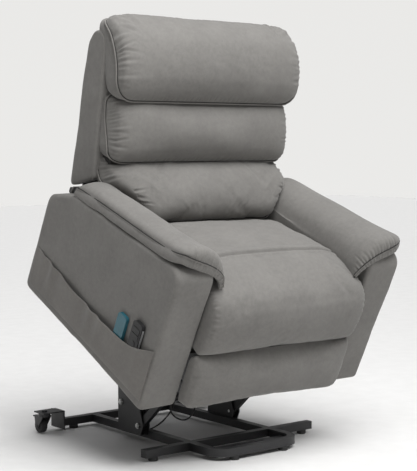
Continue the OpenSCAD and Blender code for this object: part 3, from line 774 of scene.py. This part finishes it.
def thin_rear(points):
    """The arm is thinner behind the place where the backrest swings down."""
    x, y = points[:, 0], points[:, 1]
    share = np.clip((y - THIN_FROM) / THIN_RUN, 0, 1)
    inner = ARM_IN + (REAR_IN - ARM_IN) * share * share * (3 - 2 * share)
    x = inner + (x - ARM_IN) * (ARM_OUT - inner) / (ARM_OUT - ARM_IN)
    return np.stack([x, y, points[:, 2]], axis=1)


def upholstered(name, points, faces, material, seed, ripple=1.2):
    """A covered panel with slight unevenness, in mm, over a size in metres."""
    piece = new_piece(name, world(points), faces, material)
    subdivide(piece, 1)
    mesh = piece.data
    at = read_points(mesh)
    uneven = waves(at, seed, 0.2, ripple) + waves(at, seed + 5, 0.05, ripple / 5)
    raise_points(mesh, at, uneven)
    return piece


def make_arm(side, materials):
    word = "left" if side > 0 else "right"
    outline = convex_outline(ARM_CORNERS, 200)
    stations = roundover(ARM_IN, ARM_OUT - 1, 12, 15)
    points, faces = slab_mesh(outline, stations, (0, 1.5), thin_rear)
    points, faces = mirrored(points, faces, side)
    arm = upholstered(word + "_arm_cover", points, faces, materials["fabric_main"], 40 + side)
    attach(arm, "seat")
    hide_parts(word + "_arm")


# Arm pad: the piped line along its outer side and round its front, in mm in the seat's frame
PAD_OUTER = [(20, 507), (50, 499), (110, 487), (180, 477), (280, 466), (380, 455), (500, 441), (572, 429)]
PAD_FRONT = [(420, 21, 506), (408, 13, 502), (391, 8, 497), (370, 5, 490), (342, 4, 480), (306, 2, 463),
             (276, 3, 437), (260, 10, 402)]
PAD_REAR = 572
# Depth of the roll at the pad's front and rear, height of the band, and how far back the nose fades
PAD_ROLL = 34
PAD_BAND = 30
NOSE_FADE = 140


def pad_section(y, z_out):
    """Across the arm pad: piped line, crown, roll down the inner side, foot beside the seat."""
    foot = 350 - 0.14 * (y - 60)
    nose = 10 * max(0.0, 1 - (y - PAD_OUTER[0][0]) / 170) ** 1.5
    return catmull([(432, z_out), (430, z_out + 10), (418, z_out + 20), (388, z_out + 27),
                    (352 - 0.3 * nose, z_out + 23), (318 - 0.7 * nose, z_out + 8), (291 - nose, z_out - 20),
                    (275 - nose, z_out - 58), (272 - nose, 396), (274 - nose, foot)])


def pad_crown(front, share):
    """Rows of points from the front to the rear of the arm pad."""
    outer = catmull(PAD_OUTER)
    depth = PAD_REAR - PAD_OUTER[0][0]
    turn = (1 - np.cos(np.linspace(0, math.pi / 2, 8)[:-1])) * PAD_ROLL
    steps = np.concatenate([turn, np.linspace(PAD_ROLL, depth - PAD_ROLL, 44), depth - turn[::-1]])
    rows = []
    for s in steps:
        y = PAD_OUTER[0][0] + s
        z_out = np.interp(y, outer[:, 0], outer[:, 1])
        full = at_shares(pad_section(y, z_out), share)
        near = 1 - min(1.0, s / PAD_ROLL)
        roll = math.sqrt(1 - near ** 2)
        x = front[:, 0] + (full[:, 0] - front[:, 0]) * roll
        z = front[:, 2] + (full[:, 1] - front[:, 2]) * roll
        far = 1 - min(1.0, (depth - s) / PAD_ROLL)
        z = np.minimum(z, z_out + (z - z_out) * math.sqrt(1 - far ** 2)) if far > 0 else z
        ahead = front[:, 1] + (PAD_OUTER[0][0] - front[:, 1]) * min(1.0, s / NOSE_FADE) + s
        rows.append(np.stack([x, ahead, z], axis=1))
    return np.array(rows)


def pad_band(rim, turn):
    """The flat band that hangs below the piped line, with its lower edge tucked in."""
    ahead = np.gradient(rim, axis=0)
    ahead /= np.linalg.norm(ahead, axis=1)[:, None]
    drop = np.tile([0.0, 0.10, -0.995], (len(rim), 1)) + turn[:, None] * np.array([0.45, 0.25, 0.3])
    drop /= np.linalg.norm(drop, axis=1)[:, None]
    height = PAD_BAND * (1 - 0.45 * turn)
    push = np.cross(ahead, drop)
    push /= np.linalg.norm(push, axis=1)[:, None]
    lines = [rim]
    for t, out in ((0.2, 3.0), (0.5, 5.5), (0.8, 6.0), (1.0, 5.0)):
        lines.append(rim + drop * (height * t)[:, None] + push * out)
    for inward, more in ((3, 3), (20, 0)):
        lines.append(rim + drop * (height + more)[:, None] - push * inward)
    return np.array(lines)


def grid_faces(rows, columns, flip=False):
    faces = []
    for i in range(rows - 1):
        for j in range(columns - 1):
            a = i * columns + j
            quad = (a, a + columns, a + columns + 1, a + 1)
            faces.append(quad[::-1] if flip else quad)
    return faces


def make_arm_pad(side, materials):
    """The crown runs from the outer piped line over the top and down the inner side to the seat."""
    word = "left" if side > 0 else "right"
    share = np.linspace(0, 1, 44)
    front = at_shares(catmull(PAD_FRONT), share)
    crown = pad_crown(front, share)
    rear_edge = crown[-1][:26][::-1]
    rim = np.vstack([rear_edge, crown[:-1, 0][::-1], front[1:]])
    turn = np.clip((np.arange(len(rim)) - (len(rim) - len(front))) / (len(front) - 1), 0, 1) ** 1.5
    band = pad_band(rim, turn)
    points, faces = merge([(crown.reshape(-1, 3), grid_faces(len(crown), len(front))),
                           (band.reshape(-1, 3), grid_faces(len(band), len(rim), True))])
    pad = new_piece(word + "_arm_cushion", world(np.array(points) * (side, 1, 1)),
                    faces if side > 0 else [f[::-1] for f in faces], materials["fabric_main"])
    weld(pad, 0.0004)
    subdivide(pad, 2)
    mesh = pad.data
    at = read_points(mesh)
    depth = waves(at, 60 + side, 0.15, 1.2) + pad_gathers(at, world(front * (side, 1, 1)))
    raise_points(mesh, at, depth)
    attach(pad, "seat")
    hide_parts(word + "_arm_pad")
    # The near-black seam tube along the piped line is painted shade for the crease beside the piping
    for kind, radius, drop in (("piping", PIPING_R, 3.0), ("seam", SEAM_SHADE_R - 0.4, 0.0)):
        line = (rim - [0, 0, drop]) * (side, 1, 1)
        count = int(length_along(line)[-1] / 5)
        tube = tube_mesh(world(at_shares(line, np.linspace(0, 1, count))), radius * MM, 8)
        material = materials["seam" if kind == "seam" else "fabric_piping"]
        cord = new_piece(word + "_arm_" + kind, *tube, material)
        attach(cord, "seat")


def pad_gathers(points, seam):
    """Short gathers that run back over the crown from the piped line round its front."""
    draw = np.random.default_rng(31)
    depth = np.zeros(len(points))
    run = length_along(seam)
    s = 0.03
    while s < run[-1] - 0.006:
        start = np.array([np.interp(s, run, seam[:, k]) for k in range(3)])
        reach, width, deep = draw.uniform(0.022, 0.05), draw.uniform(0.0028, 0.0045), draw.uniform(1.0, 2.4)
        after = np.array([np.interp(s + 0.004, run, seam[:, k]) for k in range(3)])
        way = (after - start) / np.linalg.norm(after - start)
        gap = points - start
        back = gap @ REAR
        across = gap @ way
        near = (np.linalg.norm(gap, axis=1) < reach * 1.4) & (back > -0.004)
        shape = -np.exp(-(across / width) ** 2) + 0.4 * np.exp(-((np.abs(across) / width - 1.9) / 0.9) ** 2)
        depth += np.where(near, deep * shape * np.clip(1 - np.linalg.norm(gap, axis=1) / reach, 0, 1), 0)
        s += draw.uniform(0.008, 0.016)
    return depth


def weld(piece, distance):
    data = bmesh.new()
    data.from_mesh(piece.data)
    bmesh.ops.remove_doubles(data, verts=data.verts, dist=distance)
    bmesh.ops.recalc_face_normals(data, faces=data.faces)
    data.to_mesh(piece.data)
    data.free()


def make_wing(side, materials):
    word = "left" if side > 0 else "right"
    outline = convex_outline(WING_CORNERS, 160)
    low, high = (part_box("left_back_wing")[k].x / MM for k in (0, 1))
    points, faces = slab_mesh(outline, roundover(low, high, 6, 9), (0, 2))
    points, faces = mirrored(points, faces, side)
    wing = upholstered(word + "_wing_cover", points, faces, materials["fabric_main"], 70 + side)
    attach(wing, "backrest")
    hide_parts(word + "_back_wing")


def make_back_panel(materials):
    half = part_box("back_panel")[1].x / MM
    outline = convex_outline(PANEL_CORNERS, 160)
    points, faces = slab_mesh(outline, roundover(-half, half, 4, 4), (0, 0))
    panel = upholstered("back_cover", points, faces, materials["fabric_trim"], 80, ripple=0.8)
    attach(panel, "backrest")
    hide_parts("back_panel")


# Rear cloth, in mm in the seat's frame: its depth along Y, the skirt's foot and top, the flap's rise
REAR_CLOTH_Y = 696
SKIRT_FOOT, SKIRT_TOP = 8, 154
FLAP_RISE = 220
VALANCE_HALF = 226
VALANCE_FOOT, VALANCE_TOP = 168, 200


def make_skirt(materials):
    """Cloth stretched across the open rear under the backrest."""
    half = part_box("rear_skirt")[1].x / MM
    rows, columns = 20, 60
    xs, zs = np.linspace(-half, half, columns), np.linspace(SKIRT_FOOT, SKIRT_TOP, rows)
    grid = [(x, REAR_CLOTH_Y + 1.5 * math.sin(z / 17) * math.cos(x / 90), z) for z in zs for x in xs]
    skin, faces = thick_sheet(grid, rows, columns, (0, -3, 0))
    skirt = new_piece("rear_skirt_cloth", skin, faces, materials["fabric_trim"])
    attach(skirt, "seat")
    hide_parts("rear_skirt")


def make_rear_flap(materials):
    """Loose cloth that joins the backrest's lower edge to the skirt."""
    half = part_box("rear_skirt")[1].x / MM - 4
    rows, columns = 16, 48
    grid = []
    for t in np.linspace(0, 1, rows):
        for x in np.linspace(-half, half, columns):
            slack = math.sin(math.pi * t) * (12 + 2.5 * math.sin(x / 41))
            grid.append((x, REAR_CLOTH_Y - 2 - 8 * t + slack, SKIRT_TOP - 2 + FLAP_RISE * t))
    skin, faces = thick_sheet(grid, rows, columns, (0, -2.5, 0))
    flap = new_piece("rear_flap_cloth", skin, faces, materials["fabric_trim"])
    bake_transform(flap)


def make_valance(materials):
    """Strip of cloth under the seat's front edge, behind the footrest's top."""
    rows, columns = 6, 40
    xs = np.linspace(-VALANCE_HALF, VALANCE_HALF, columns)
    grid = [(x, -7, z) for z in np.linspace(VALANCE_FOOT, VALANCE_TOP, rows) for x in xs]
    skin, faces = thick_sheet(grid, rows, columns, (0, 2.5, 0))
    strip = new_piece("seat_valance_cloth", skin, faces, materials["lining"])
    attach(strip, "seat")


def thick_sheet(grid, rows, columns, offset):
    """A grid of points in mm given a second face and edges, as a closed sheet in metres."""
    grid = np.asarray(grid, float)
    under = grid + np.asarray(offset, float)
    n = rows * columns
    faces = []
    for i in range(rows - 1):
        for j in range(columns - 1):
            a = i * columns + j
            faces.append((a, a + 1, a + columns + 1, a + columns))
            faces.append((n + a, n + a + columns, n + a + columns + 1, n + a + 1))
    edge = list(range(columns)) + [i * columns + columns - 1 for i in range(1, rows)]
    edge += [(rows - 1) * columns + j for j in range(columns - 2, -1, -1)]
    edge += [i * columns for i in range(rows - 2, 0, -1)]
    for a, b in zip(edge, edge[1:] + edge[:1]):
        faces.append((b, a, n + a, n + b))
    return world(np.vstack([grid, under])), faces


# ---- pocket ----

POCKET_TOP = [(6, 203), (95, 166), (175, 154), (349, 148), (520, 152), (690, 161)]
POCKET_STAND = 18
POCKET_EDGE = 2.4
POCKET_FOOT = 30


def make_pocket(materials):
    """Flat pouch on the right arm's outer side, its mouth sagging a little away from the arm."""
    rows, columns = 26, 110
    top = catmull(POCKET_TOP)
    grid = []
    for i in range(rows):
        t = i / (rows - 1)
        for j in range(columns):
            s = j / (columns - 1)
            y = POCKET_TOP[0][0] + (678 + 6 * t) * s
            z_top = np.interp(y, top[:, 0], top[:, 1])
            z = POCKET_FOOT + (z_top - POCKET_FOOT) * t
            swell = np.interp(y, [6, 60, 230, 690], [0.1, 1, 1, 0.1])
            rise = min(1.0, t / 0.25) ** 0.6
            stand = POCKET_EDGE + (POCKET_STAND - POCKET_EDGE) * swell * rise
            fold = (3.4 * t * math.sin(y / 17 + 2 * math.sin(y / 47) + 0.5 * t)
                    * np.interp(y, [200, 290, 600, 690], [0, 1, 1, 0.2]))
            grid.append((-(ARM_OUT + stand + fold - 1), y, z))
    skin, faces = thick_sheet(grid, rows, columns, (2.2, 0, 0))
    faces = [f[::-1] for f in faces]
    pouch = new_piece("pocket_pouch_cloth", skin, faces, materials["fabric_trim"])
    subdivide(pouch, 1)
    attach(pouch, "seat")
    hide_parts("side_pocket")


# ---- soft parts of the seat and backrest ----

HEAD = dict(
    side=[(596, 710), (602, 740), (618, 782), (636, 815), (664, 850), (704, 883), (745, 897), (785, 896)],
    mid=[(596, 710), (580, 728), (575, 762), (583, 805), (605, 852), (645, 896), (700, 922), (745, 928),
         (785, 918), (795, 898)],
    back=[(668, 706), (720, 760), (756, 800), (778, 840), (790, 868), (793, 884)])
MIDDLE = dict(
    side=[(556, 522), (578, 535), (584, 552), (608, 590), (634, 630), (650, 670), (662, 702)],
    mid=[(556, 522), (538, 532), (532, 560), (537, 600), (552, 645), (577, 685), (612, 706), (655, 706)],
    back=[(650, 520), (665, 560), (676, 600), (690, 640), (704, 675), (716, 700)])
LOWER = dict(
    side=[(440, 372), (455, 402), (490, 426), (540, 440), (585, 450), (608, 470), (618, 495), (622, 514)],
    mid=[(440, 372), (416, 392), (419, 428), (445, 463), (480, 494), (515, 512), (555, 518), (600, 516)],
    back=[(520, 372), (560, 395), (600, 425), (625, 455), (636, 490), (640, 510)])
SEAT = dict(
    side=[(-10, 184), (-22, 196), (-32, 232), (-36, 290), (-28, 330), (-8, 358), (36, 374), (100, 378),
          (160, 376), (260, 368), (360, 356), (430, 344), (465, 330)],
    mid=[(-10, 184), (-36, 192), (-50, 226), (-55, 285), (-52, 330), (-30, 376), (25, 406), (90, 418),
         (160, 415), (260, 403), (360, 387), (440, 369), (475, 335)],
    back=[(30, 206), (60, 206), (100, 206), (180, 206), (280, 206), (360, 208), (400, 215), (430, 240),
          (455, 290)])
FOOTREST = dict(
    side=[(-18, 9), (-21, 12), (-24, 28), (-26, 80), (-25, 120), (-24, 165), (-16, 186)],
    mid=[(-18, 6), (-33, 6), (-46, 26), (-50, 80), (-47, 125), (-42, 165), (-32, 186), (-16, 190)],
    back=[(-20, 14), (-14, 45), (-14, 80), (-14, 120), (-14, 150), (-16, 170)])
# Each side of a pad, with the heading in degrees that points inwards from it
SIDES = ((-1, 0), (1, 180))
PIPING_R = 2.7
# Radius of the near-black seam tube: painted shade in the crease beside the piping
SEAM_SHADE_R = 2.6
# The seat's cross seam, as a share of the way from its lower front edge to its rear
SEAT_SEAM = 0.52


def head_gathers(draw, pad):
    top, half = pad.length, pad.widths.max()
    rows = []
    for side, inward in SIDES:
        edge = side * (half - 6)
        # Radiating gathers at the upper corners, shorter ones down the sides
        for k, angle in enumerate(np.linspace(12, 78, 9)):
            heading = -angle if side < 0 else 180 + angle
            u0 = top - 10 - 90 * (1 - k / 8)
            v0 = edge - side * 60 * (k / 8)
            rows.append((u0, v0, heading, draw.uniform(60, 120), draw.uniform(5, 8), draw.uniform(3.5, 6.5)))
        rows += gather_row(draw, (30, edge), (top - 110, edge), inward, 12, 55, 2.8, 3.8)
    rows += gather_row(draw, (8, -half + 50), (8, half - 50), 90, 15, 20, 1.5, 3.5)
    rows += gather_row(draw, (top - 6, -half + 70), (top - 6, half - 70), -90, 26, 42, 2.2, 5.5)
    return rows


def middle_gathers(draw, pad):
    top, half = pad.length, pad.widths.max()
    rows = []
    for side, inward in SIDES:
        edge = side * (half - 6)
        rows += gather_row(draw, (25, edge), (top - 15, edge), inward, 11, 46, 2.7, 3.6)
    rows += gather_row(draw, (8, -half + 60), (8, half - 60), 90, 24, 22, 1.6, 4.5)
    return rows


def lower_gathers(draw, pad):
    top, half = pad.length, pad.widths.max()
    rows = []
    for side, inward in SIDES:
        edge = side * (half - 6)
        rows += gather_row(draw, (top * 0.62, edge), (top - 8, edge), inward, 12, 55, 4.5, 5)
        rows += gather_row(draw, (40, side * 262), (top * 0.5, side * 300), inward, 16, 38, 3.0)
    # Long soft folds that fall from the upper corners
    rows += [(top - 30, -half + 30, -38, 190, 13, 5.0), (top - 60, -half + 20, -24, 150, 10, 4.0),
             (top - 30, half - 30, 218, 190, 13, 5.0), (top - 60, half - 20, 204, 150, 10, 4.0)]
    return rows


def seat_gathers(draw, pad):
    half = pad.widths.max()
    rows = []
    for side, inward in SIDES:
        rows += gather_row(draw, (30, side * (half - 5)), (230, side * (half - 5)), inward, 12, 28, 2.4, 3.5)
    return rows


def footrest_gathers(draw, pad):
    half = pad.widths.max()
    rows = []
    for side, inward in SIDES:
        rows += gather_row(draw, (12, side * (half - 5)), (pad.length - 12, side * (half - 5)), inward,
                           16, 22, 1.3, 3.5)
    return rows


def lower_width(shares):
    """The lower pillow narrows where it sits between the arms."""
    t = np.clip((shares - 0.12) / 0.5, 0, 1)
    return 264 + 82 * t * t * (3 - 2 * t)


def make_cushions(materials):
    """The five cushions: shaped, filled by Cloth, gathered, then put on their bodies."""
    pads = {
        "head_pillow": Pad("head_cushion", half=361, back_half=345, corners=(62, 62), band_bulge=10,
                           sharp=(9, 12), **HEAD),
        "middle_pillow": Pad("middle_cushion", half=350, back_half=346, corners=(44, 30),
                             sharp=(8, 14), **MIDDLE),
        "lower_pillow": Pad("lower_cushion", half=lower_width, back_half=340, corners=(34, 24),
                            sharp=(9, 12), **LOWER),
        "seat_cushion": Pad("seat_cover", half=SEAT_HALF + 2, back_half=SEAT_HALF + 2, corners=(20, 30),
                            sharp=(14, 7), cell=11.0, band_bulge=1, **SEAT),
        "footrest_cushion": Pad("footrest_cover", half=FOOT_HALF + 3, back_half=FOOT_HALF + 3,
                                corners=(34, 8), sharp=(14, 16), side_depth=20, band_bulge=1,
                                **FOOTREST),
    }
    bodies = {"head_pillow": "backrest", "middle_pillow": "backrest", "lower_pillow": "backrest",
              "seat_cushion": "seat", "footrest_cushion": "footrest"}
    for pad, shrink in zip(pads.values(), (0.0, 0.0, -0.01, -0.005, -0.005)):
        pad.make(materials["fabric_main"])
        pad.shrink = shrink
    simulate(list(pads.values()))
    draw = np.random.default_rng(7)
    pillows = {"head_pillow": (head_gathers, 11), "middle_pillow": (middle_gathers, 13),
               "lower_pillow": (lower_gathers, 15)}
    for key, (gathers, seed) in pillows.items():
        finish_pad(pads[key], gathers(draw, pads[key]), seed)
    seam = pads["seat_cushion"].length * SEAT_SEAM
    finish_pad(pads["seat_cushion"], seat_gathers(draw, pads["seat_cushion"]), 17,
               grooves=[(lambda v: seam - 6 * (v / 300) ** 2, 4.5, 7.0)])
    finish_pad(pads["footrest_cushion"], footrest_gathers(draw, pads["footrest_cushion"]), 19, ripple=1.0)
    for key, pad in pads.items():
        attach(pad.piece, bodies[key])
        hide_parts(key)
        if key in pillows:
            # The near-black seam tube along the rim is painted shade for the crease beside the piping
            for word, radius, lift in (("piping", PIPING_R, 3.2), ("seam", SEAM_SHADE_R, 0.0)):
                material = materials["seam" if word == "seam" else "fabric_piping"]
                cord = new_piece(pad.name + "_" + word, *pad.piping(radius, lift), material)
                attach(cord, bodies[key])


# ---- floor and light ----

# Brightness of the studio by height: pale round the horizon, dim above it, soft light overhead
SKY = [(0.0, (0.3, 0.3, 0.3)), (0.42, (0.7, 0.69, 0.68)), (0.47, (0.83, 0.825, 0.81)),
       (0.56, (0.82, 0.815, 0.80)), (0.62, (0.1, 0.1, 0.1)), (0.85, (0.3, 0.3, 0.305)),
       (1.0, (0.9, 0.9, 0.91))]

# Half the floor's width, in metres
FLOOR_HALF = 14


def make_stage():
    material, tree, shader = new_material("floor")
    fine = noise(tree, object_place(tree), 14.0, 6.0, 0.6)
    tree.links.new(ramp(tree, fine, [(0.3, (0.64, 0.637, 0.63)), (0.7, (0.68, 0.677, 0.67))]),
                   shader.inputs["Base Color"])
    shader.inputs["Roughness"].default_value = 0.6
    mesh = bpy.data.meshes.new("floor")
    corners = ((-1, -1), (1, -1), (1, 1), (-1, 1))
    mesh.from_pydata([(x * FLOOR_HALF, y * FLOOR_HALF, 0) for x, y in corners], [], [(0, 1, 2, 3)])
    mesh.materials.append(material)
    floor = bpy.data.objects.new("floor", mesh)
    bpy.context.scene.collection.objects.link(floor)
    studio = bpy.data.worlds.new("studio")
    studio.use_nodes = True
    nodes = studio.node_tree
    place = add_node(nodes, "ShaderNodeTexCoord").outputs["Generated"]
    split = add_node(nodes, "ShaderNodeSeparateXYZ")
    nodes.links.new(place, split.inputs["Vector"])
    height = add_node(nodes, "ShaderNodeMapRange")
    height.inputs["From Min"].default_value = -1
    nodes.links.new(split.outputs["Z"], height.inputs["Value"])
    sky = ramp(nodes, height.outputs["Result"], SKY)
    nodes.links.new(sky, nodes.nodes["Background"].inputs["Color"])
    bpy.context.scene.world = studio
    bpy.context.scene.view_settings.view_transform = "Standard"


def add_light(name, at, aim, size, power):
    data = bpy.data.lights.new(name, "AREA")
    data.shape = "DISK"
    data.size = size
    data.energy = power
    light = bpy.data.objects.new(name, data)
    light.location = at
    light.rotation_euler = (Vector(aim) - Vector(at)).to_track_quat("-Z", "Y").to_euler()
    bpy.context.scene.collection.objects.link(light)


def make_lights():
    add_light("overhead", (-0.5, -1.3, 2.7), (0, -0.1, 1.2), 1.5, 42)
    data = bpy.data.lights.new("key", "SUN")
    data.energy = 3.0
    data.angle = math.radians(55)
    key = bpy.data.objects.new("key", data)
    key.rotation_euler = Vector((-0.17, 0.45, -1)).to_track_quat("-Z", "Y").to_euler()
    bpy.context.scene.collection.objects.link(key)


# ---- the whole chair ----

make_camera()
MATERIALS = make_materials()
dress_frame(MATERIALS)
make_cords(MATERIALS)
make_cushions(MATERIALS)
for SIDE in (-1, 1):
    make_arm(SIDE, MATERIALS)
    make_arm_pad(SIDE, MATERIALS)
    make_wing(SIDE, MATERIALS)
make_back_panel(MATERIALS)
make_skirt(MATERIALS)
make_rear_flap(MATERIALS)
make_valance(MATERIALS)
make_pocket(MATERIALS)
make_stage()
make_lights()
